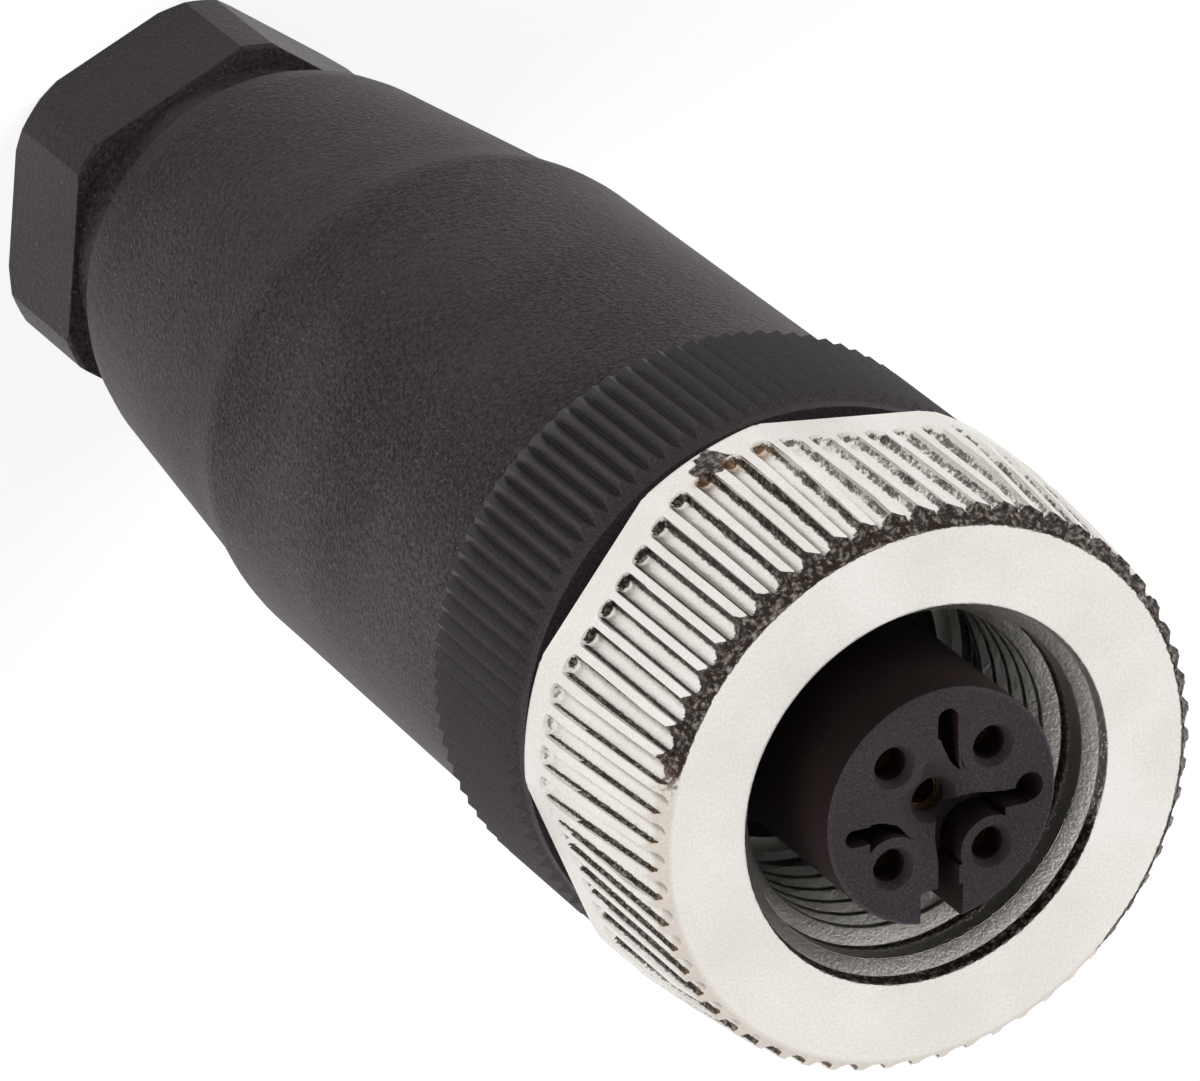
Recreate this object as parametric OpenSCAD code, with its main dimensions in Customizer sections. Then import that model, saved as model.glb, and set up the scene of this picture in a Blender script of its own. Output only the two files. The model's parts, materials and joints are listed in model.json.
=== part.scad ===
// Straight five-hole female M12 connector with screw terminals.
// It stands on its gland nut: +Z points out of the mating face.
// Stations are measured back from the coupling nut's front face.

/* [Mating side] */
// coupling thread, major diameter
thread_major = 12; // [11.9:0.1:12.2]
// coupling thread, pitch
thread_pitch = 1; // [0.9:0.05:1.1]
// circle through the four outer contacts
pin_circle = 5; // [4.9:0.1:5.2]
// bore of each contact, which takes a 1 mm pin
socket_bore = 1; // [0.9:0.05:1.1]
// diameter of the contact insert
insert_d = 8.16; // [8:0.05:8.4]
// how far the insert stands out of the nut
insert_proud = 0.95; // [0.6:0.05:1.2]

/* [Coupling nut] */
// length of the hexagon with its grooves
nut_len = 8.3; // [7.8:0.1:9]
// how far each flat lies inside the grip ring's teeth
flat_sink = 0.41; // [0.3:0.01:0.5]
// how far each turned corner stands out past the teeth
corner_rise = 0.17; // [0.1:0.01:0.2]
// how far the flat front ring's edge lies inside the teeth
face_sink = 0.76; // [0.7:0.01:0.85]
// number of grip grooves
groove_count = 60; // [48:6:66]
// radius of a grip groove
groove_r = 0.36; // [0.3:0.02:0.4]
// plain band behind the grooves
band_len = 1.25; // [1:0.05:1.6]

/* [Grip ring] */
// gap behind the coupling nut
ring_gap = 0.94; // [0.7:0.05:1.2]
// width of the knurled ring
ring_w = 6.13; // [5.6:0.1:6.6]
// across the tooth tips
ring_d = 20.06; // [19.8:0.1:20.4]
// number of teeth
ring_teeth = 100; // [80:4:110]
// depth of a tooth
tooth_h = 0.3; // [0.2:0.02:0.36]

/* [Housing] */
// how far the housing's front lies inside the grip ring's teeth
body_sink = 0.6; // [0.5:0.05:0.8]
// diameter at the end of the straight part
shoulder_d = 18.5; // [18.2:0.1:18.8]
// length of the straight part
straight_len = 18.4; // [17.6:0.2:19.2]
// diameter behind the short steep step
step_d = 17.66; // [17.3:0.1:17.9]
// diameter at the rear end
tail_d = 14.96; // [14.8:0.1:15.4]
// length of the tapered part
taper_len = 14.1; // [13.6:0.1:14.8]
// carrier thread, which holds the housing
carrier_thread_d = 16; // [15.8:0.1:16.1]

/* [Gland nut] */
// across flats
gland_flats = 13.3; // [13:0.1:13.5]
// across the turned corners
gland_corners = 14.7; // [14.5:0.1:15]
// length of the hexagon
gland_len = 5.2; // [4.8:0.1:5.6]
// gap in front of the hexagon, which tightening on a cable closes
gland_gap = 2.45; // [2.2:0.05:2.7]
// gland thread diameter
gland_thread_d = 12.8; // [12.6:0.1:12.9]
// cable entry
cable_d = 7.2; // [6.8:0.1:7.4]
// number of clamping fingers
finger_count = 8; // [6:1:8]

/* [Hidden] */
run = 0.05;
press = 0.01;
ring_r = ring_d / 2;
flat_r = ring_r - flat_sink;
corner_r = ring_r + corner_rise;
face_r = ring_r - face_sink;
hub_r = ring_r - 2.83;
minor_r = thread_major / 2 - 0.5413 * thread_pitch;
major_r = thread_major / 2;
insert_r = insert_d / 2;
pin_r = pin_circle / 2;
neck_r = 4.5;
stem_r = 0.85;
flange_r = minor_r - 0.2;
seat_r = insert_r - 0.25;
s_seal = nut_len - 0.3;
s_flange = nut_len + 0.7;
s_collar = s_flange + 1.2;
s_hub = s_collar + 1.2;
s_ring = nut_len + ring_gap;
s_web = s_hub + 0.5;
s_body = s_ring + ring_w;
s_thread = s_body + 1.5;
s_term = s_thread + 5.1;
s_term_end = s_term + 6.6;
s_post_end = s_term_end + 6.2;
s_neck_end = s_term - 3;
s_shoulder = s_body + straight_len;
s_step = s_shoulder + 2.1;
s_tail = s_shoulder + taper_len;
s_hex = s_tail + gland_gap;
s_end = s_hex + gland_len;
mate_h = s_end;
carrier_r = carrier_thread_d / 2;
gland_r = gland_thread_d / 2;
cable_r = cable_d / 2;
s_pocket = s_tail - 11;
s_cage = s_tail - 5.9;
s_spigot = s_cage + 1.2;
s_grip = s_spigot + 2.4;
s_squeeze = s_grip + 2.1;
s_entry = s_squeeze + 1.3;
finger_len = 3.8;
head_in = 2;
head_out = 5.2;
end_head_in = -1.4;
end_head_out = 2.2;
seal_r = gland_r - 0.9;
key_w = 1.52;
rim_r = 1.1;
slot_w = 0.72;
dish_r = 1.75;
dish_depth = 0.75;
head_w = 3;
head_len = 6;
nut_phase = 53;
groove_phase = 3.1;
gland_phase = 25;

// a turned solid from [radius, station] pairs
module turned(profile) {
  rotate_extrude($fn = 120)
    polygon([for (p = profile) [p[0], mate_h - p[1]]]);
}

// a round bar between two stations
module bar(r, s0, s1) {
  translate([0, 0, mate_h - s1])
    cylinder(r = r, h = s1 - s0, $fn = 72);
}

// lifts a flat shape to fill the space between two stations
module slab(s0, s1) {
  translate([0, 0, mate_h - s1])
    linear_extrude(height = s1 - s0)
      children();
}

module hexagon(flats) {
  circle(r = flats / 2 / cos(30), $fn = 6);
}

// distance from the axis to the nut's skin, at an angle from a corner
function skin_r(a) = min(corner_r, flat_r / cos(((a % 60) + 60) % 60 - 30));

// one grip groove, which leans in towards the front as the nut does
module groove(a) {
  rear = skin_r(a) - 0.02;
  front = face_r + 0.4;
  run_len = nut_len - band_len - groove_r;
  lean = atan((rear - front) / run_len);
  rotate([0, 0, a])
    translate([rear, 0, mate_h - run_len])
      rotate([0, -lean, 0]) {
        cylinder(r = groove_r, h = run_len + 1, $fn = 24);
        sphere(r = groove_r, $fn = 24);
        translate([0, 0.03 - groove_r, 0.05])
          cube([1, 2 * groove_r - 0.06, run_len + 1]);
      }
}

module nut_blank() {
  intersection() {
    slab(0, nut_len)
      intersection() {
        hexagon(2 * flat_r);
        circle(r = corner_r, $fn = 120);
      }
    turned([[0, 0], [face_r, 0], [face_r + 0.43, 0.43],
      [corner_r, 2.2], [corner_r + 0.2, nut_len - 0.35],
      [corner_r - 0.15, nut_len], [0, nut_len]]);
  }
}

module coupling_nut() {
  color("silver")
    difference() {
      rotate([0, 0, nut_phase])
        difference() {
          union() {
            nut_blank();
            bar(hub_r, nut_len - 0.5, s_hub);
          }
          for (i = [0 : groove_count - 1])
            groove(i * 360 / groove_count + groove_phase);
        }
      turned([[0, -1], [major_r + 1.52, -1], [major_r, 0.6], [major_r, 1.2],
        [minor_r, 1.2 + major_r - minor_r], [minor_r, s_flange - 0.25],
        [minor_r + 0.3, s_flange - 0.05], [minor_r + 0.3, s_collar],
        [neck_r + 0.1, s_collar], [neck_r + 0.1, s_hub + 1], [0, s_hub + 1]]);
    }
}

// centre of an outer contact, counted from upper right
function pin_at(i) = [pin_r * cos(45 + 90 * i), pin_r * sin(45 + 90 * i)];

// the upper slot: a horn that narrows towards the centre
module upper_slot() {
  end_r = slot_w / 2;
  top = insert_r - 0.67;
  translate([0.14, top - end_r])
    circle(r = end_r, $fn = 48);
  translate([0.14 - end_r, 2.4])
    square([slot_w, top - end_r - 2.4]);
  difference() {
    intersection() {
      translate([2.63, 3.2])
        circle(r = 2.87, $fn = 96);
      translate([-0.5, 0.9])
        square([1.4, 1.6]);
    }
    translate([3.27, 2.23])
      circle(r = 2.76, $fn = 96);
  }
}

// the left slot: a straight mouth, then a hump over its contact's rim
module left_slot() {
  end_r = 0.3;
  translate([-insert_r + 0.9, -0.42])
    circle(r = end_r, $fn = 48);
  translate([-insert_r + 0.9, -0.42 - end_r])
    square([0.8, 2 * end_r]);
  intersection() {
    translate([-2.5, -1.55])
      circle(r = 1.5, $fn = 64);
    translate([-2.6, -1.05])
      square([1.7, 1.2]);
  }
}

// the S-shaped slot: round its contact's rim, from the right to the key slot
module s_slot() {
  p = pin_at(3);
  intersection() {
    translate(p)
      circle(r = 1.92, $fn = 96);
    translate([-0.4, p[1] - 0.4])
      square([p[0] + 0.9, 2.6]);
  }
  translate([p[0] + 0.3, -0.5])
    square([insert_r - 1 - p[0] - 0.3, 0.6]);
  translate([insert_r - 0.98, 0.04])
    circle(r = 0.5, $fn = 48);
  translate([-0.14, -insert_r + 0.9])
    square([0.76, insert_r - 2.6]);
}

// the relief slots in the insert's face, each hugging one contact's rim
module relief_slots() {
  difference() {
    union() {
      upper_slot();
      left_slot();
      s_slot();
    }
    for (i = [0 : 3])
      translate(pin_at(i))
        circle(r = rim_r, $fn = 64);
  }
}

// the dish round the centre contact, which the outer contacts' rims stand in
module dish() {
  difference() {
    turned([[0, -insert_proud - 0.1], [dish_r + 0.2, -insert_proud - 0.1],
      [0.62, dish_depth - insert_proud], [0, dish_depth - insert_proud]]);
    for (i = [0 : 3])
      translate(pin_at(i))
        bar(rim_r + 0.02, -insert_proud - 1, s_seal);
  }
}

module contact_insert() {
  color("dimgray")
    difference() {
      turned([[0, -insert_proud], [insert_r - 0.12, -insert_proud],
        [insert_r, 0.12 - insert_proud], [insert_r, s_flange - 1],
        [seat_r, s_flange - 1], [seat_r, s_flange], [flange_r, s_flange],
        [flange_r, s_collar - run], [neck_r, s_collar - run], [neck_r, s_neck_end],
        [0, s_neck_end]]);
      slab(-insert_proud - 1, 1.4 - insert_proud)
        relief_slots();
      dish();
      slab(-insert_proud - 1, s_seal - 0.9)
        translate([-key_w / 2, -insert_r - 1])
          square([key_w, 2.25]);
      for (i = [0 : 3])
        translate(pin_at(i))
          pin_hole(0);
      pin_hole(dish_depth);
    }
}

// a pin's way into its contact: dish, guide hole and the contact's seat
module pin_hole(sink) {
  mouth = -insert_proud + sink;
  guide_r = socket_bore / 2 + 0.06;
  turned([[0, mouth - 0.5], [guide_r + 0.48, mouth - 0.5],
    [guide_r, mouth + 0.3], [guide_r, 0.5], [stem_r + press, 0.5],
    [stem_r + press, s_neck_end + 1], [0, s_neck_end + 1]]);
}

module face_seal() {
  color("black")
    translate([0, 0, mate_h - s_flange + 0.48])
      rotate_extrude($fn = 96)
        translate([seat_r + 0.48, 0])
          circle(r = 0.45, $fn = 32);
}

// straight V knurl: one point out and one point in for each tooth
module knurl_outline() {
  step = 360 / ring_teeth;
  polygon([for (i = [0 : 2 * ring_teeth - 1])
    let (r = ring_r - (i % 2) * tooth_h)
      [r * cos(i * step / 2), r * sin(i * step / 2)]]);
}

module contact_carrier() {
  valley_r = ring_r - tooth_h;
  color("black")
    difference() {
      union() {
        intersection() {
          slab(s_ring, s_body)
            knurl_outline();
          turned([[0, s_ring], [valley_r - 0.12, s_ring],
            [valley_r - 0.04, s_ring + 0.3], [ring_r + 0.05, s_ring + 0.65],
            [ring_r + 0.05, s_body - 0.4], [valley_r - 0.05, s_body], [0, s_body]]);
        }
        bar(hub_r + 1.7, s_ring - 0.6, s_ring + 1);
        turned([[0, s_body - 1], [carrier_r - 0.9, s_body - 1],
          [carrier_r - 0.9, s_thread], [carrier_r, s_thread + 0.3],
          [carrier_r, s_term - 0.4], [carrier_r - 0.4, s_term], [0, s_term]]);
        bar(6.3, s_term - 1, s_term_end);
        bar(3.1, s_term_end - 1, s_post_end);
      }
      bar(hub_r + 0.5, s_ring - 2, s_web);
      bar(neck_r + press, s_web - 1, s_neck_end + press);
      bar(stem_r + press, s_neck_end - 1, s_term_end + 1);
      for (i = [0 : 3]) {
        translate(pin_at(i))
          bar(stem_r + press, s_neck_end - 1, s_term + 1);
        rotate([0, 0, 45 + 90 * i])
          terminal_pocket(s_term, s_term_end + 1, head_in - 0.03);
      }
      rotate([0, 0, -90])
        terminal_pocket(s_term_end, s_post_end + 1, end_head_in - 0.03);
    }
}

// an open-sided seat for one terminal head
module terminal_pocket(s0, s1, inner) {
  slab(s0, s1)
    translate([inner, -head_w / 2 - 0.03])
      square([8, head_w + 0.06]);
}

// a turned socket with a screw terminal behind it
module contact(x0, x1, s_head) {
  stem_x = (x0 > 0) ? pin_r : 0;
  wire_x = (x0 + x1) / 2;
  color("gold")
    difference() {
      union() {
        translate([stem_x, 0])
          bar(stem_r, 0.55, s_head + 0.5);
        slab(s_head + 0.03, s_head + head_len)
          translate([x0, -head_w / 2])
            square([x1 - x0, head_w]);
      }
      translate([stem_x, 0])
        bar(socket_bore / 2, 0, 6.5);
      translate([stem_x, 0])
        slab(1.2, 5.8)
          translate([-2, -0.1])
            square([4, 0.2]);
      translate([wire_x, 0])
        bar(0.85, s_head + 1.4, s_head + head_len + 1);
      translate([wire_x, 0, mate_h - s_head - head_len / 2])
        rotate([0, 90, 0])
          cylinder(r = 1 + press, h = 5, $fn = 48);
    }
}

module outer_contact(i) {
  rotate([0, 0, 45 + 90 * i])
    contact(head_in, head_out, s_term);
}

module contact_1() {
  outer_contact(0);
}

module contact_2() {
  outer_contact(1);
}

module contact_3() {
  outer_contact(2);
}

module contact_4() {
  outer_contact(3);
}

module contact_5() {
  rotate([0, 0, -90])
    contact(end_head_in, end_head_out, s_term_end);
}

// a slotted screw that comes in from the side
module terminal_screw(face, s_head) {
  translate([face, 0, mate_h - s_head - head_len / 2])
    rotate([0, 90, 0])
      difference() {
        union() {
          translate([0, 0, -1.2])
            cylinder(r = 1, h = 1.7, $fn = 48);
          translate([0, 0, 0.1])
            cylinder(r = 1.4, h = 0.75, $fn = 48);
        }
        translate([-2, -0.2, 0.5])
          cube([4, 0.4, 1]);
      }
}

module terminal_screws() {
  color("silver") {
    for (i = [0 : 3])
      rotate([0, 0, 45 + 90 * i])
        terminal_screw(head_out, s_term);
    rotate([0, 0, -90])
      terminal_screw(end_head_out, s_term_end);
  }
}

module housing_seal() {
  color("black")
    translate([0, 0, mate_h - (s_body + s_thread) / 2])
      rotate_extrude($fn = 96)
        translate([carrier_r - 0.9 + 0.6, 0])
          circle(r = 0.56, $fn = 32);
}

module housing() {
  mouth = carrier_r + 0.32;
  body_r = ring_r - body_sink;
  color("black")
    difference() {
      turned([[0, s_body + 0.08], [body_r - 0.15, s_body + 0.08],
        [body_r, s_body + 0.25], [shoulder_d / 2, s_shoulder - 0.4],
        [shoulder_d / 2 - 0.06, s_shoulder + 0.2], [step_d / 2 + 0.06, s_step - 0.4],
        [step_d / 2 - 0.06, s_step + 0.4], [tail_d / 2 + 0.24, s_tail - 1.7],
        [tail_d / 2 + 0.04, s_tail - 0.7], [tail_d / 2 - 0.16, s_tail - 0.15],
        [tail_d / 2 - 0.4, s_tail], [0, s_tail]]);
      turned([[0, s_body - 1], [mouth, s_body - 1], [mouth, s_thread - 0.1],
        [carrier_r + run, s_thread + 0.15], [carrier_r + run, s_term + 0.6],
        [shoulder_d / 2 - 1.65, s_term + 1], [shoulder_d / 2 - 1.65, s_shoulder - 0.5],
        [cable_r + 1.6, s_pocket - 1.2], [cable_r + 0.4, s_pocket - 1.2],
        [cable_r + 0.4, s_pocket], [seal_r + run, s_pocket],
        [seal_r + run, s_cage - 0.5], [gland_r + run, s_cage - 0.1],
        [gland_r + run, s_tail + 1], [0, s_tail + 1]]);
    }
}

module cable_seal() {
  color("dimgray")
    turned([[cable_r - 0.5, s_pocket + 0.6], [cable_r, s_pocket + 0.05],
      [seal_r - 0.5, s_pocket + 0.05], [seal_r, s_pocket + 0.5],
      [seal_r, s_cage - 0.55], [seal_r - 0.5, s_cage - 0.05],
      [cable_r, s_cage - 0.05], [cable_r - 0.5, s_cage - 0.6]]);
}

module clamp_cage() {
  slit = 0.9;
  color("dimgray")
    difference() {
      turned([[cable_r + 0.2, s_cage], [gland_r - run, s_cage],
        [gland_r - run, s_spigot - 0.1], [gland_r - 1.15, s_spigot - 0.1],
        [gland_r - 1.15, s_spigot + 2.2], [cable_r + 0.95, s_spigot + finger_len],
        [cable_r + 0.1, s_spigot + finger_len], [cable_r + 0.1, s_spigot + finger_len - 0.6],
        [cable_r + 0.4, s_spigot + 2.6], [cable_r + 0.4, s_spigot],
        [cable_r + 0.2, s_spigot - 0.4]]);
      for (i = [0 : finger_count - 1])
        rotate([0, 0, i * 360 / finger_count])
          slab(s_spigot + 0.3, s_spigot + finger_len + 1)
            translate([0, -slit / 2])
              square([9, slit]);
    }
}

module gland_nut() {
  flat = gland_flats / 2;
  corner = gland_corners / 2;
  color("black")
    difference() {
      union() {
        bar(gland_r, s_spigot, s_hex + 0.5);
        intersection() {
          rotate([0, 0, gland_phase])
            slab(s_hex, s_end)
              hexagon(gland_flats);
          turned([[0, s_hex], [corner - 0.12, s_hex], [corner, s_hex + 0.12],
            [corner, s_end - 0.4], [corner - 0.35, s_end], [0, s_end]]);
        }
      }
      turned([[0, s_spigot - 1], [gland_r - 1.05, s_spigot - 1],
        [gland_r - 1.05, s_grip], [cable_r + 1, s_squeeze],
        [cable_r, s_entry], [cable_r, s_end - 0.5],
        [cable_r + 1, s_end + 0.5], [0, s_end + 0.5]]);
    }
}

coupling_nut();
contact_insert();
face_seal();
contact_carrier();
contact_1();
contact_2();
contact_3();
contact_4();
contact_5();
terminal_screws();
housing_seal();
housing();
cable_seal();
clamp_cage();
gland_nut();
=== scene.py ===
"""The looks of a straight five-hole female M12 connector.

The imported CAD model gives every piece's place. This script adds the materials, a coupling nut
with its cast skin and its helical thread, and the floor, lamps and camera.
"""

import json
import math

import bmesh
import bpy
import numpy as np
from mathutils import Matrix, Vector, noise

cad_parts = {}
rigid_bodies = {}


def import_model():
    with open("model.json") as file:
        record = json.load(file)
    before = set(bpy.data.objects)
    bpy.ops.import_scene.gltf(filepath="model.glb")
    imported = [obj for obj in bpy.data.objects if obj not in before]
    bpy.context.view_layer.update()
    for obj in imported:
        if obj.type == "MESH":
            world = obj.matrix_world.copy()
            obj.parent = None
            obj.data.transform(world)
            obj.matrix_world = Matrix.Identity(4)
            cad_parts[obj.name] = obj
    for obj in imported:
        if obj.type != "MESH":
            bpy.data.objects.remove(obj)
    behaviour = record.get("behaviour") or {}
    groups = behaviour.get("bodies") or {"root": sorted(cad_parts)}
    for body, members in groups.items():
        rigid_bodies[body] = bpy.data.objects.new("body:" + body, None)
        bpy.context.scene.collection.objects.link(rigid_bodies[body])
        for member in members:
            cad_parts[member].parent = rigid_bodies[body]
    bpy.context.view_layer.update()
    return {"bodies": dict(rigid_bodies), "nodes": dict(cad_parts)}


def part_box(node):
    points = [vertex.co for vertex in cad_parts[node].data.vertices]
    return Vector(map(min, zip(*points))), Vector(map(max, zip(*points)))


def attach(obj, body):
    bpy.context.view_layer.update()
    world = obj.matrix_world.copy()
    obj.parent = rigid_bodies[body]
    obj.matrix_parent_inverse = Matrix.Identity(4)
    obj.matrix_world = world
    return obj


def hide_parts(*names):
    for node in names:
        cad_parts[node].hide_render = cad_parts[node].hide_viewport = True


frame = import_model()

MM = 0.001

# The nut's front face. Stations are measured back from it, in mm.
MATE_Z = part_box("coupling_nut")[1].z / MM

# The stage's tones, where white is 1. Sky and paper are what they light the object with. The
# paper that is seen is its own glow and, above that, the light that falls on it.
SKY_LIGHT = 0.2
PAPER_LIGHT = 0.25
PAPER_GLOW = 0.77
PAPER_LIT = 0.35
PAPER_HALF = 2.0


# ---------------------------------------------------------------- camera and stage


def photo_to_row(v):
    """A direction in the camera's own frame (X along the connector) as one in the row frame."""
    return Vector((v.y, v.z, v.x))


def make_camera():
    azimuth, elevation = math.radians(62.92), math.radians(24.55)
    distance, aside, below = 345.0, 10.37, -8.05
    back = Vector(
        (
            math.sin(azimuth) * math.cos(elevation),
            -math.cos(azimuth) * math.cos(elevation),
            math.sin(elevation),
        )
    )
    right = Vector((math.cos(azimuth), math.sin(azimuth), 0))
    up = back.cross(right)
    back, right, up = (photo_to_row(v) for v in (back, right, up))
    place = back * distance - right * aside - up * below + Vector((0, 0, MATE_Z))
    camera = bpy.data.objects.new("camera", bpy.data.cameras.new("camera"))
    camera.data.sensor_fit = "HORIZONTAL"
    camera.data.sensor_width = 36
    camera.data.lens = 328
    camera.data.clip_start, camera.data.clip_end = 0.01, 10
    camera.matrix_world = Matrix.Translation(place * MM) @ Matrix(
        (right, up, back)
    ).transposed().to_4x4()
    bpy.context.scene.collection.objects.link(camera)
    bpy.context.scene.camera = camera


def new_mesh_object(name, verts, faces, smooth=True):
    mesh = bpy.data.meshes.new(name)
    mesh.from_pydata(verts, [], faces)
    mesh.validate()
    if smooth:
        mesh.polygons.foreach_set("use_smooth", [True] * len(mesh.polygons))
    mesh.update()
    obj = bpy.data.objects.new(name, mesh)
    bpy.context.scene.collection.objects.link(obj)
    return obj


class Nodes:
    """A short way to write a node tree."""

    def __init__(self, tree):
        self.tree = tree
        tree.nodes.clear()

    def add(self, kind, **values):
        node = self.tree.nodes.new(kind)
        for key, value in values.items():
            if hasattr(node, key):
                setattr(node, key, value)
            else:
                self.set(node, key.replace("_", " "), value)
        return node

    def set(self, node, key, value):
        socket = next(s for s in node.inputs if s.name.lower() == key.lower() and s.enabled)
        if isinstance(value, bpy.types.NodeSocket):
            self.tree.links.new(value, socket)
        else:
            socket.default_value = value

    def link(self, out, into):
        self.tree.links.new(out, into)

    def math(self, operation, a, b=None, clamp=False):
        node = self.tree.nodes.new("ShaderNodeMath")
        node.operation, node.use_clamp = operation, clamp
        for i, value in enumerate((a, b)):
            if value is None:
                continue
            if isinstance(value, bpy.types.NodeSocket):
                self.link(value, node.inputs[i])
            else:
                node.inputs[i].default_value = value
        return node.outputs[0]

    def mix(self, factor, a, b):
        node = self.tree.nodes.new("ShaderNodeMix")
        node.data_type = "RGBA"
        for name, value in (("Factor", factor), ("A", a), ("B", b)):
            socket = next(s for s in node.inputs if s.name == name and s.enabled)
            if isinstance(value, bpy.types.NodeSocket):
                self.link(value, socket)
            else:
                socket.default_value = value
        return next(s for s in node.outputs if s.enabled)

    def ramp(self, factor, *stops):
        node = self.tree.nodes.new("ShaderNodeValToRGB")
        elements = node.color_ramp.elements
        while len(elements) < len(stops):
            elements.new(0.5)
        for element, (place, colour) in zip(elements, stops):
            element.position = place
            element.color = grey(colour) if isinstance(colour, (int, float)) else colour
        self.link(factor, node.inputs[0])
        return node.outputs[0]

    def noise(self, vector, scale, detail=2.0, rough=0.5):
        node = self.add("ShaderNodeTexNoise", Scale=scale, Detail=detail, Roughness=rough)
        self.link(vector, node.inputs["Vector"])
        return node.outputs["Fac"]

    def attribute(self, name):
        return self.add("ShaderNodeAttribute", attribute_name=name).outputs["Fac"]


def grey(value):
    return (value, value, value, 1)


def sees_background(n):
    """One for rays that see the background: the camera's, and those of gloss and glass."""
    rays = n.add("ShaderNodeLightPath").outputs
    mirrored = n.math("MAXIMUM", rays["Is Glossy Ray"], rays["Is Transmission Ray"])
    return n.math("MAXIMUM", rays["Is Camera Ray"], mirrored)


def make_world():
    """White behind the object and in what it mirrors, and a soft grey that lights it."""
    world = bpy.data.worlds.new("studio")
    bpy.context.scene.world = world
    world.use_nodes = True
    n = Nodes(world.node_tree)
    colour = n.mix(sees_background(n), grey(SKY_LIGHT), grey(1.0))
    background = n.add("ShaderNodeBackground", Strength=1.0)
    n.link(colour, background.inputs["Color"])
    out = n.add("ShaderNodeOutputWorld")
    n.link(background.outputs[0], out.inputs["Surface"])


def make_floor():
    """White paper that keeps the object's shadow, and stays under the gland nut as it unscrews."""
    corners = ((-1, -1), (1, -1), (1, 1), (-1, 1))
    floor = new_mesh_object(
        "floor",
        [(x * PAPER_HALF, y * PAPER_HALF, 0) for x, y in corners],
        [(0, 1, 2, 3)],
    )
    material = bpy.data.materials.new("floor_white")
    material.use_nodes = True
    n = Nodes(material.node_tree)
    paper = n.add("ShaderNodeBsdfDiffuse", Color=grey(PAPER_LIGHT))
    shadowed = n.add("ShaderNodeBsdfDiffuse", Color=grey(PAPER_LIT))
    glow = n.add("ShaderNodeEmission", Color=grey(PAPER_GLOW), Strength=1.0)
    both = n.add("ShaderNodeAddShader")
    n.link(shadowed.outputs[0], both.inputs[0])
    n.link(glow.outputs[0], both.inputs[1])
    pick = n.add("ShaderNodeMixShader")
    n.link(sees_background(n), pick.inputs[0])
    n.link(paper.outputs[0], pick.inputs[1])
    n.link(both.outputs[0], pick.inputs[2])
    out = n.add("ShaderNodeOutputMaterial")
    n.link(pick.outputs[0], out.inputs["Surface"])
    floor.data.materials.append(material)
    under = floor.constraints.new("COPY_LOCATION")
    under.target = frame["bodies"]["gland_nut"]
    under.use_x = under.use_y = False


def make_lamp(name, azimuth, elevation, distance, size, brightness):
    """A square soft box that looks at the middle of the connector. Gloss doesn't show it, so
    pale metal never mirrors more than the white around it."""
    a, e = math.radians(azimuth), math.radians(elevation)
    toward = Vector((math.cos(a) * math.cos(e), math.sin(a) * math.cos(e), math.sin(e)))
    lamp = bpy.data.lights.new(name, "AREA")
    lamp.shape, lamp.size = "SQUARE", size
    lamp.energy = math.pi * size**2 * brightness
    obj = bpy.data.objects.new(name, lamp)
    obj.visible_glossy = False
    obj.location = Vector((0, 0, MATE_Z * MM / 2)) + toward * distance
    obj.rotation_mode = "QUATERNION"
    obj.rotation_quaternion = (-toward).to_track_quat("-Z", "Y")
    bpy.context.scene.collection.objects.link(obj)


# ---------------------------------------------------------------- materials


def start_material(name):
    """A material, its nodes, the place on the object and the shader."""
    material = bpy.data.materials.new(name)
    material.use_nodes = True
    n = Nodes(material.node_tree)
    place = n.add("ShaderNodeTexCoord").outputs["Object"]
    shader = n.add("ShaderNodeBsdfPrincipled")
    out = n.add("ShaderNodeOutputMaterial")
    n.link(shader.outputs[0], out.inputs["Surface"])
    return material, n, place, shader


def add_bump(n, shader, height, strength, distance, edge_mm=0.0):
    """A bump from a height, over edges that are rounded where a radius is given."""
    bump = n.add("ShaderNodeBump", Strength=strength, Distance=distance)
    n.link(height, bump.inputs["Height"])
    if edge_mm:
        edge = n.add("ShaderNodeBevel", Radius=edge_mm * MM)
        edge.samples = 4
        n.link(edge.outputs["Normal"], bump.inputs["Normal"])
    n.link(bump.outputs["Normal"], shader.inputs["Normal"])


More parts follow.
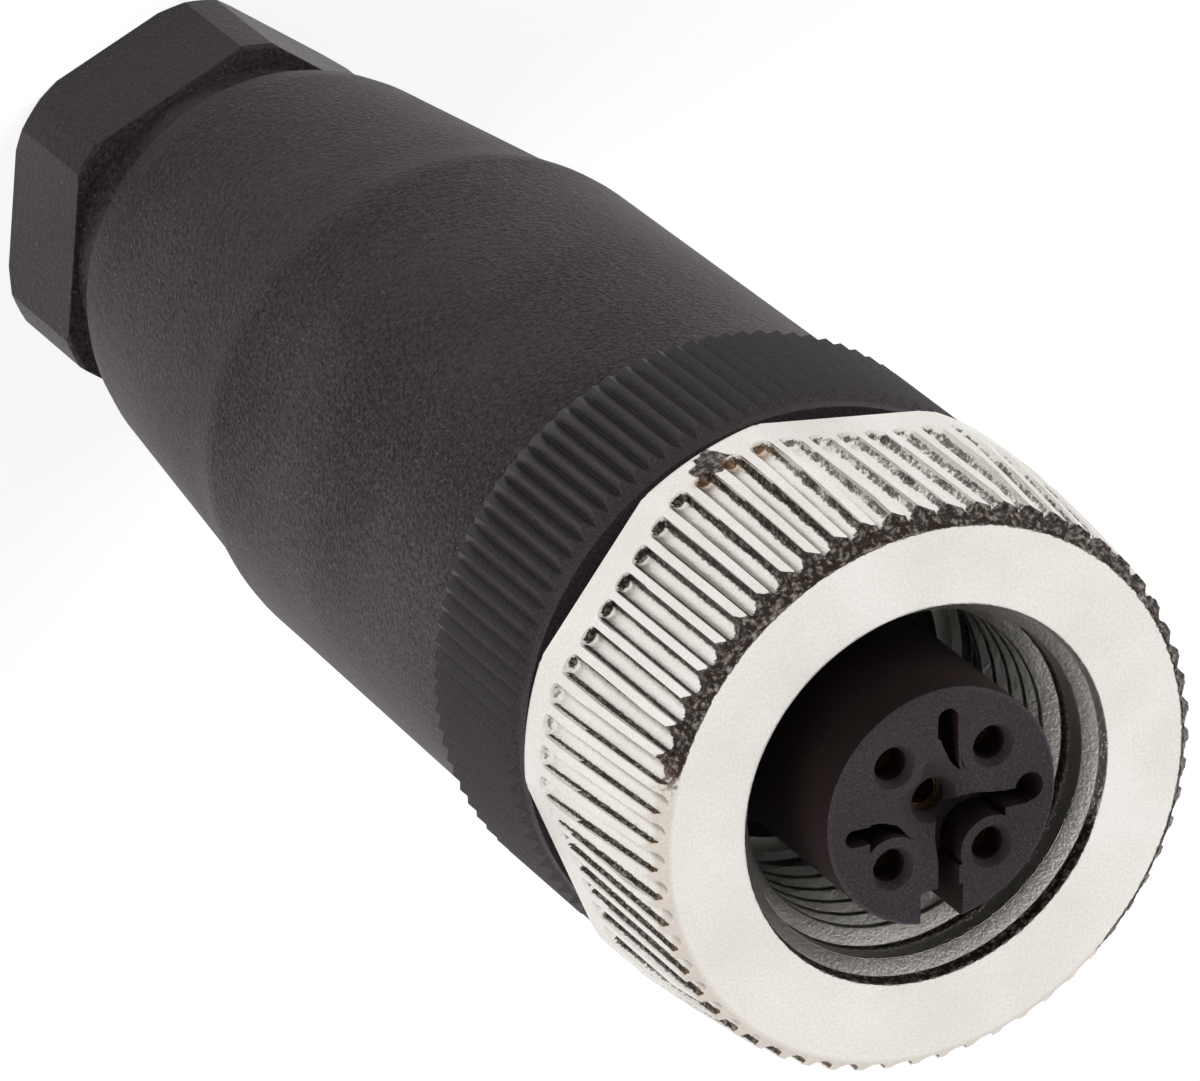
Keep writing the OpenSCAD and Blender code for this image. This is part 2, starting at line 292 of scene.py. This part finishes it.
def moulded_plastic(
    name, dark, light, rough, grain_mm, depth_mm, gloss=0.1, edge_mm=0.0, side=1.0
):
    """A moulding whose tool was spark eroded: fine grain, painted glints, and a slow change of
    tone, partly painted sheen on the grain's tops. "side" is painted shade on what doesn't face
    forward."""
    material, n, place, shader = start_material(name)
    grain = n.noise(place, 1 / (grain_mm * MM), 3, 0.6)
    cloud = n.noise(place, 120, 2)
    # Tone follows a cloud and the grain. It is the moulding's own tone, and partly painted sheen
    # where the grain's tops come out lighter.
    tone = n.math("ADD", n.math("MULTIPLY", cloud, 0.3), n.math("MULTIPLY", grain, 0.7))
    colour = n.ramp(tone, (0.40, dark), (0.62, light))
    # Painted glints: fine specks mixed toward three times the light colour.
    painted_glints = n.ramp(n.noise(place, 1 / (0.6 * grain_mm * MM), 2), (0.60, 0.0), (0.72, 0.5))
    glint_highlight_colour = tuple(3.0 * v for v in light[:3]) + (1,)
    colour = n.mix(painted_glints, colour, glint_highlight_colour)
    # Painted shade: surfaces that don't face forward get a darker, browner colour.
    if side < 1.0:
        facing = n.add("ShaderNodeSeparateXYZ")
        n.link(n.add("ShaderNodeTexCoord").outputs["Normal"], facing.inputs[0])
        forward = n.ramp(facing.outputs["Z"], (0.35, 0.0), (0.7, 1.0))
        painted_side_shade = (dark[0] * side, dark[1] * side * 0.75, dark[2] * side * 0.65, 1)
        colour = n.mix(forward, painted_side_shade, colour)
    n.link(colour, shader.inputs["Base Color"])
    n.link(n.ramp(grain, (0.3, rough - 0.08), (0.7, rough + 0.08)), shader.inputs["Roughness"])
    shader.inputs["Specular IOR Level"].default_value = gloss
    add_bump(n, shader, grain, 0.9, depth_mm * MM, edge_mm)
    return material


def cast_nickel(name):
    """Nickel plate over a zinc casting. One mask marks rough dark skin of the casting and painted
    shade on the grooves' walls and in the thread's roots; "stain" marks brown deposits.
    """
    material, n, place, shader = start_material(name)
    shader.inputs["Metallic"].default_value = 1.0
    cast = n.attribute("cast")
    stain = n.attribute("stain")
    fine = n.noise(place, 1 / (0.09 * MM), 3, 0.6)
    coarse = n.noise(place, 1 / (0.2 * MM), 3, 0.6)
    cloud = n.noise(place, 1 / (3.0 * MM), 2)
    speckle = n.math("ADD", n.math("MULTIPLY", cloud, 0.35), n.math("MULTIPLY", fine, 0.65))
    plate = n.ramp(speckle, (0.38, (0.74, 0.71, 0.665, 1)), (0.62, (0.87, 0.85, 0.81, 1)))
    # Where the mask is high, the plate turns to dark pits. These are rough casting skin, plus
    # painted shade on the grooves' walls and the thread's roots.
    pits = n.ramp(coarse, (0.48, (0.034, 0.025, 0.020, 1)), (0.70, (0.33, 0.29, 0.26, 1)))
    broken = n.math("ADD", cast, n.math("MULTIPLY", n.math("SUBTRACT", coarse, 0.5), 0.9))
    amount = n.ramp(broken, (0.38, 0.0), (0.58, 1.0))
    skin = n.mix(amount, plate, pits)
    brown = n.mix(n.math("MULTIPLY", stain, 0.9, clamp=True), skin, (0.33, 0.17, 0.05, 1))
    n.link(brown, shader.inputs["Base Color"])
    satin = n.ramp(fine, (0.3, 0.30), (0.7, 0.42))
    n.link(satin, shader.inputs["Roughness"])
    depth = n.math("ADD", n.math("MULTIPLY", amount, 0.75), 0.25)
    height = n.math("MULTIPLY", n.math("ADD", fine, coarse), depth)
    add_bump(n, shader, height, 0.7, 0.08 * MM)
    return material


def plated_metal(name, low, high, roughness):
    """A plated turned part with a faint cloud and fine lines."""
    material, n, place, shader = start_material(name)
    shader.inputs["Metallic"].default_value = 1.0
    cloud = n.noise(place, 900, 3)
    n.link(n.ramp(cloud, (0.3, low), (0.7, high)), shader.inputs["Base Color"])
    lines = n.noise(place, 6000, 2)
    n.link(
        n.ramp(lines, (0.3, roughness - 0.05), (0.7, roughness + 0.05)),
        shader.inputs["Roughness"],
    )
    add_bump(n, shader, lines, 0.2, 0.01 * MM)
    return material


def seal_rubber(name):
    """Matt black rubber."""
    material, n, place, shader = start_material(name)
    cloud = n.noise(place, 700, 4)
    n.link(n.ramp(cloud, (0.3, 0.012), (0.7, 0.03)), shader.inputs["Base Color"])
    shader.inputs["Roughness"].default_value = 0.6
    add_bump(n, shader, n.noise(place, 9000, 2), 0.3, 0.02 * MM)
    return material


# ---------------------------------------------------------------- coupling nut

# sizes in mm and angles in degrees; stations run back from the front face
NUT_FLAT = 19.24 / 2
NUT_CORNER = 20.4 / 2
NUT_FACE = 18.54 / 2
NUT_LEN = 8.3
HUB_R = 7.2
HUB_END = 11.4
NUT_PHASE = 53.0
GROOVES = 60
GROOVE_R = 0.36
GROOVE_PHASE = 3.1
GROOVE_REAR = 6.69
MAJOR_R = 6.0
MINOR_R = 5.459
THREAD_FRONT = 1.2
THREAD_REAR = 8.75
PITCH = 1.0
COLLAR_FRONT, COLLAR_REAR, COLLAR_R = 8.95, 10.2, 5.76
NECK_HOLE = 4.6

# the turned outside over the corners: stations and radii
CONE = ([0, 0.43, 3.0, 5.8, 7.95, 8.3], [9.27, 9.70, 9.97, 10.2, 10.4, 10.05])

# the front face and the counterbored mouth: radius, station, and how rough the skin is
MOUTH = (
    (9.1, 0, 0.0),
    (8.2, 0, 0.0),
    (7.2, 0, 0.0),
    (6.62, 0, 0.0),
    (6.54, 0.02, 0.5),
    (6.50, 0.06, 1.0),
    (6.48, 0.25, 1.0),
    (6.45, 0.44, 1.0),
    (6.42, 0.49, 0.1),
    (6.03, 0.84, 0.0),
    (6.0, 0.9, 0.6),
    (MAJOR_R, THREAD_FRONT, 0.0),
)

# the rear face, the hub and the seat of the insert's collar: radius and station
REAR = (
    (9.2, NUT_LEN),
    (HUB_R + 0.1, NUT_LEN),
    (HUB_R, NUT_LEN + 0.1),
    (HUB_R, HUB_END - 0.1),
    (HUB_R - 0.1, HUB_END),
    (NECK_HOLE, HUB_END),
    (NECK_HOLE, COLLAR_REAR),
    (COLLAR_R, COLLAR_REAR),
    (COLLAR_R, COLLAR_FRONT),
    (MAJOR_R, THREAD_REAR),
)

# one turn of thread, from root to root: along the axis in pitches, and how far it rises
RIDGE = (
    (0.0, 0.0),
    (0.06, 0.0),
    (0.10, 0.06),
    (0.36, 0.92),
    (0.42, 1.0),
    (0.58, 1.0),
    (0.64, 0.92),
    (0.90, 0.06),
    (0.94, 0.0),
)

# across one groove and its land, in groove radii from the groove's middle
ACROSS = (
    [-1.3, -1.08, -1.0, -0.96, -0.86, -0.7, -0.45, -0.15]
    + [0.15, 0.45, 0.7, 0.86, 0.96, 1.0, 1.08, 1.3]
)

# The casting's skin is rough on one side and rubbed smooth on the other. The sprue was at one
# corner, and a few grooves beside it have brown deposits at their rear ends.
ROUGH_SIDE = 59
SPRUE_ANGLE, SPRUE_S = 113, 7.4
DEPOSIT_ANGLES, DEPOSIT_S = (104.0, 110.5, 117.0), 6.75
MOUTH_RUBBED = 30


def skin_radius(angle):
    """The nut's outside, from its hexagon and its turned corners."""
    from_corner = (angle - NUT_PHASE) % 60 - 30
    return min(NUT_CORNER, NUT_FLAT / math.cos(math.radians(from_corner)))


def blend(x, low, high):
    """A smooth step from 0 at low to 1 at high."""
    t = min(max((x - low) / (high - low), 0.0), 1.0)
    return t * t * (3 - 2 * t)


def cone_radius(s):
    """The radius of the turned outside at a station."""
    return float(np.interp(s, *CONE))


def groove_floor(angle, centre, s):
    """The radius of a groove's floor, or a large number outside the groove."""
    rear = skin_radius(centre) - 0.02
    front = NUT_FACE + 0.4
    axis = rear + (front - rear) * min(max((GROOVE_REAR - s) / GROOVE_REAR, 0), 1)
    aside = axis * math.sin(math.radians(angle - centre))
    beyond = max(s - GROOVE_REAR, 0)
    left = GROOVE_R**2 - aside**2 - beyond**2
    return axis - math.sqrt(left) if left > 0 else 99.0


def tongue_tip(aside):
    """Where the cast front skin ends, in tongues, by degrees from a groove's middle."""
    pitch, valley, tip = 360 / GROOVES, -1.5, 2.4
    long_side = tip - valley
    aside = (aside - valley) % pitch
    rise = aside / long_side if aside < long_side else (pitch - aside) / (pitch - tip + valley)
    return 1.05 - 0.58 * rise


def turn_from(other, angle):
    """How far an angle lies from another, from -180 to 180 degrees."""
    return (angle - other + 180) % 360 - 180


def away(angle, other):
    """The angle between two directions, in degrees."""
    return abs(turn_from(other, angle))


def front_skin(angle):
    """How rough the front chamfer is: full at one side, and rubbed smooth at the other."""
    return 1 - 0.85 * blend(away(angle, ROUGH_SIDE), 99, 112)


def wall_skin_and_shade(angle):
    """How rough and dark the grooves' walls are, as casting skin and painted shade: most of all
    beside the sprue's corner, around 132 degrees.
    """
    beside = 0.55 + 0.45 * blend(away(angle, 132), 32, 20)
    return beside * (1 - 0.22 * blend(away(angle, ROUGH_SIDE), 92, 106))


def sprue_mark(angle, s):
    """A rough patch on the rear band at one corner."""
    across = math.radians(turn_from(SPRUE_ANGLE, angle)) * NUT_CORNER
    ragged = 0.35 * lumps(across, s, 0, 0.4)
    return 1 - blend(math.hypot(across, s - SPRUE_S) + ragged, 0.5, 0.75)


def deposit(angle, s):
    """Brown specks at the rear ends of a few grooves by the sprue's corner."""
    total = 0.0
    for place in DEPOSIT_ANGLES:
        across = math.radians(turn_from(place, angle)) * NUT_CORNER
        total += 0.55 * (1 - blend(math.hypot(across, s - DEPOSIT_S), 0.12, 0.42))
    return total


def lumps(x, y, z, size):
    """Smooth noise from about -1 to 1, with lumps of a size in mm."""
    return noise.noise(Vector((x, y, z)) / size)


def nut_rows():
    """The stations of the outside's rings, closer together at the grooves' ends."""
    front = [0, 0.05, 0.1, 0.15, 0.2, 0.25, 0.3, 0.35]
    front += [0.39, 0.43, 0.47, 0.52, 0.58, 0.66, 0.76, 0.9]
    middle = list(np.arange(1.1, 6.2, 0.22))
    rear = [6.3, 6.45, 6.6, 6.69, 6.77, 6.84, 6.9, 6.95]
    rear += [6.99, 7.02, 7.05, 7.08, 7.2, 7.5, 7.8, 7.95]
    return front + middle + rear + [8.1, 8.22, 8.3]


class Skin:
    """Rings of vertices joined into one closed skin, with a value per vertex for each mask."""

    def __init__(self):
        self.verts, self.faces, self.cast, self.stain = [], [], [], []

    def ring(self, points, cast=0.0, stain=0.0):
        """Adds vertices from angles, radii and stations."""
        first = len(self.verts)
        for i, (angle, r, s) in enumerate(points):
            a = math.radians(angle)
            self.verts.append((r * math.cos(a) * MM, r * math.sin(a) * MM, (MATE_Z - s) * MM))
            self.cast.append(cast[i] if isinstance(cast, list) else cast)
            self.stain.append(stain[i] if isinstance(stain, list) else stain)
        return list(range(first, len(self.verts)))

    def join(self, a, b):
        """Quads between two rings, or a fan where one has several times as many vertices."""
        if len(a) == len(b):
            for i in range(len(a)):
                j = (i + 1) % len(a)
                self.faces.append((a[i], a[j], b[j], b[i]))
            return
        fine, coarse, flip = (a, b, False) if len(a) > len(b) else (b, a, True)
        step = len(fine) // len(coarse)
        for k in range(len(coarse)):
            c0, c1 = coarse[k], coarse[(k + 1) % len(coarse)]
            for i in range(step):
                f0, f1 = fine[k * step + i], fine[(k * step + i + 1) % len(fine)]
                tip = c0 if i < step / 2 else c1
                self.faces.append((f1, f0, tip) if flip else (f0, f1, tip))
            middle = fine[(k * step + (step + 1) // 2) % len(fine)]
            self.faces.append((c0, c1, middle) if flip else (c1, c0, middle))


def groove_columns():
    """Angles of the fine columns: sixteen for each groove, closer together at its edges."""
    columns = []
    for i in range(GROOVES):
        centre = NUT_PHASE + GROOVE_PHASE + i * 360 / GROOVES
        half = math.degrees(GROOVE_R / NUT_FLAT)
        for place in ACROSS:
            columns.append((centre + place * half, centre))
    return columns


def make_nut():
    """The coupling nut in place of its CAD node: skin, mouth, hub and thread in one mesh."""
    skin = Skin()
    columns = groove_columns()
    rings = []
    for s in nut_rows():
        points, cast, stain = [], [], []
        for angle, centre in columns:
            outside = min(skin_radius(angle), cone_radius(s))
            floor = groove_floor(angle, centre, s)
            r = min(outside, floor)
            x, y = r * math.cos(math.radians(angle)), r * math.sin(math.radians(angle))
            aside = angle - centre
            tip = tongue_tip(aside) + 0.1 * lumps(x, y, 0, 0.25)
            edge = (1 - blend(s, tip - 0.06, tip + 0.08)) * front_skin(angle)
            in_groove = 1.0 if floor < outside - 0.02 else 0.0
            patchy = 0.9 + 0.35 * lumps(x, y, s, 0.9)
            # The groove's wall on the lower-angle side, a thin line by its other edge and its rear
            # end get the rough dark mask. This is partly casting skin and partly painted shade.
            side = blend(-aside, 0.7, 1.3) * in_groove * patchy * wall_skin_and_shade(angle)
            line = 0.8 * in_groove if 1.8 < aside < 2.1 else 0.0
            end = blend(s, GROOVE_REAR + 0.05, GROOVE_REAR + 0.3)
            end = end * in_groove * wall_skin_and_shade(angle)
            rough = min(max(edge, side, line, end, sprue_mark(angle, s)), 1.0)
            r += rough * 0.035 * lumps(x, y, s, 0.16)
            points.append((angle, r, s))
            cast.append(rough)
            beige = 0.32 * (1 - blend(s, tip - 0.1, tip + 0.2))
            beige = beige * (1 - front_skin(angle))
            stain.append(beige + deposit(angle, s))
        rings.append(skin.ring(points, cast, stain))
    for a, b in zip(rings, rings[1:]):
        skin.join(a, b)

    def turned(r, s, cast=0.0):
        """A ring of a turned surface. Its skin is rubbed smooth at one side."""
        count = GROOVES * 4
        start = NUT_PHASE + GROOVE_PHASE - 3
        angles = [start + i * 360 / count for i in range(count)]
        rubbed = [1 - 0.7 * blend(away(a, MOUTH_RUBBED), 70, 35) for a in angles]
        return skin.ring([(a, r, s) for a in angles], [cast * v for v in rubbed])

    inward = [turned(*place) for place in MOUTH]
    skin.join(inward[0], rings[0])
    for a, b in zip(inward[1:], inward):
        skin.join(a, b)

    backward = [turned(*place) for place in REAR]
    skin.join(rings[-1], backward[0])
    for a, b in zip(backward, backward[1:]):
        skin.join(a, b)
    add_thread(skin, inward[-1], backward[-1])

    nut = new_mesh_object("nut_casting", skin.verts, skin.faces)
    for name, values in (("cast", skin.cast), ("stain", skin.stain)):
        layer = nut.data.attributes.new(name, "FLOAT", "POINT")
        layer.data.foreach_set("value", values)
    tidy(nut)
    nut.data.materials.append(cast_nickel("nickel_plate"))
    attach(nut, "coupling_nut")
    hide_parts("coupling_nut")
    return nut


def add_thread(skin, front_ring, rear_ring):
    """One helical ridge from ring to ring: root, flank, crest, flank, root."""
    count = len(front_ring)
    turns = int((THREAD_REAR - THREAD_FRONT) / PITCH) - 1
    last = count * turns
    start = NUT_PHASE + GROOVE_PHASE - 3
    lines = [[] for _ in RIDGE]
    for j in range(last + 1):
        angle = start + j * 360 / count
        fade = blend(j, 0, count * 0.2) * blend(last - j, 0, count * 0.3)
        for k, (along, rise) in enumerate(RIDGE):
            s = THREAD_FRONT + PITCH * (j / count + along)
            height = (MAJOR_R - MINOR_R) * rise * fade
            a = math.radians(angle)
            r = MAJOR_R - height + 0.012 * lumps(6 * math.cos(a), 6 * math.sin(a), s, 0.3)
            # The thread's roots get the rough dark mask: painted shade in the roots.
            lines[k].append(skin.ring([(angle, r, s)], 0.8 if rise < 0.05 else 0.0)[0])
    for a, b in zip(lines, lines[1:]):
        for j in range(last):
            skin.faces.append((a[j], b[j], b[j + 1], a[j + 1]))
    for j in range(last - count):
        upper, lower = lines[-1], lines[0]
        skin.faces.append((upper[j], lower[j + count], lower[j + count + 1], upper[j + 1]))
    for j in range(count):
        i = (j + 1) % count
        skin.faces.append((front_ring[j], lines[0][j], lines[0][j + 1], front_ring[i]))
        tail = last - count + j
        skin.faces.append((lines[-1][tail], rear_ring[j], rear_ring[i], lines[-1][tail + 1]))


def tidy(obj):
    """Welds doubled vertices and turns every face outward."""
    bm = bmesh.new()
    bm.from_mesh(obj.data)
    bmesh.ops.remove_doubles(bm, verts=bm.verts, dist=1e-7)
    bmesh.ops.recalc_face_normals(bm, faces=bm.faces)
    bm.to_mesh(obj.data)
    bm.free()
    obj.data.polygons.foreach_set("use_smooth", [True] * len(obj.data.polygons))
    obj.data.set_sharp_from_angle(angle=math.radians(40))


# ---------------------------------------------------------------- dressing the CAD nodes


def dress(node, material):
    """Gives a CAD node its material."""
    obj = frame["nodes"][node]
    obj.data.materials.clear()
    obj.data.materials.append(material)


def main():
    make_camera()
    make_world()
    make_floor()
    make_lamp("right_box", 42, 25, 0.5, 0.3, 6.5)
    make_lamp("left_box", 202, 20, 0.5, 0.3, 8.0)

    housing = moulded_plastic(
        "spark_eroded_black",
        dark=(0.022, 0.016, 0.017, 1),
        light=(0.088, 0.071, 0.074, 1),
        rough=0.42,
        grain_mm=0.17,
        depth_mm=0.16,
        gloss=0.05,
    )
    ring = moulded_plastic(
        "ring_black",
        dark=(0.022, 0.016, 0.018, 1),
        light=(0.050, 0.041, 0.044, 1),
        rough=0.38,
        grain_mm=0.09,
        depth_mm=0.03,
        gloss=0.2,
        edge_mm=0.06,
    )
    insert = moulded_plastic(
        "insert_grey",
        dark=(0.031, 0.025, 0.029, 1),
        light=(0.062, 0.054, 0.060, 1),
        rough=0.5,
        grain_mm=0.08,
        depth_mm=0.03,
        edge_mm=0.05,
        # Painted shade on the insert's walls that don't face forward.
        side=0.5,
    )
    gland = moulded_plastic(
        "gland_black",
        dark=(0.022, 0.016, 0.017, 1),
        light=(0.050, 0.040, 0.042, 1),
        rough=0.42,
        grain_mm=0.2,
        depth_mm=0.03,
        edge_mm=0.08,
    )
    cage = moulded_plastic(
        "cage_grey",
        dark=(0.05, 0.05, 0.05, 1),
        light=(0.10, 0.10, 0.10, 1),
        rough=0.5,
        grain_mm=0.1,
        depth_mm=0.01,
    )
    rubber = seal_rubber("seal_rubber")
    brass = plated_metal("gold_plate", (0.78, 0.55, 0.2, 1), (0.86, 0.64, 0.28, 1), 0.22)
    steel = plated_metal("screw_steel", (0.5, 0.5, 0.5, 1), (0.62, 0.62, 0.62, 1), 0.3)

    make_nut()
    dress("contact_insert", insert)
    dress("contact_carrier", ring)
    dress("housing", housing)
    dress("gland_nut", gland)
    dress("clamp_cage", cage)
    for node in ("face_seal", "housing_seal", "cable_seal"):
        dress(node, rubber)
    for i in range(1, 6):
        dress(f"contact_{i}", brass)
    dress("terminal_screws", steel)

    scene = bpy.context.scene
    scene.view_settings.view_transform = "Standard"


main()
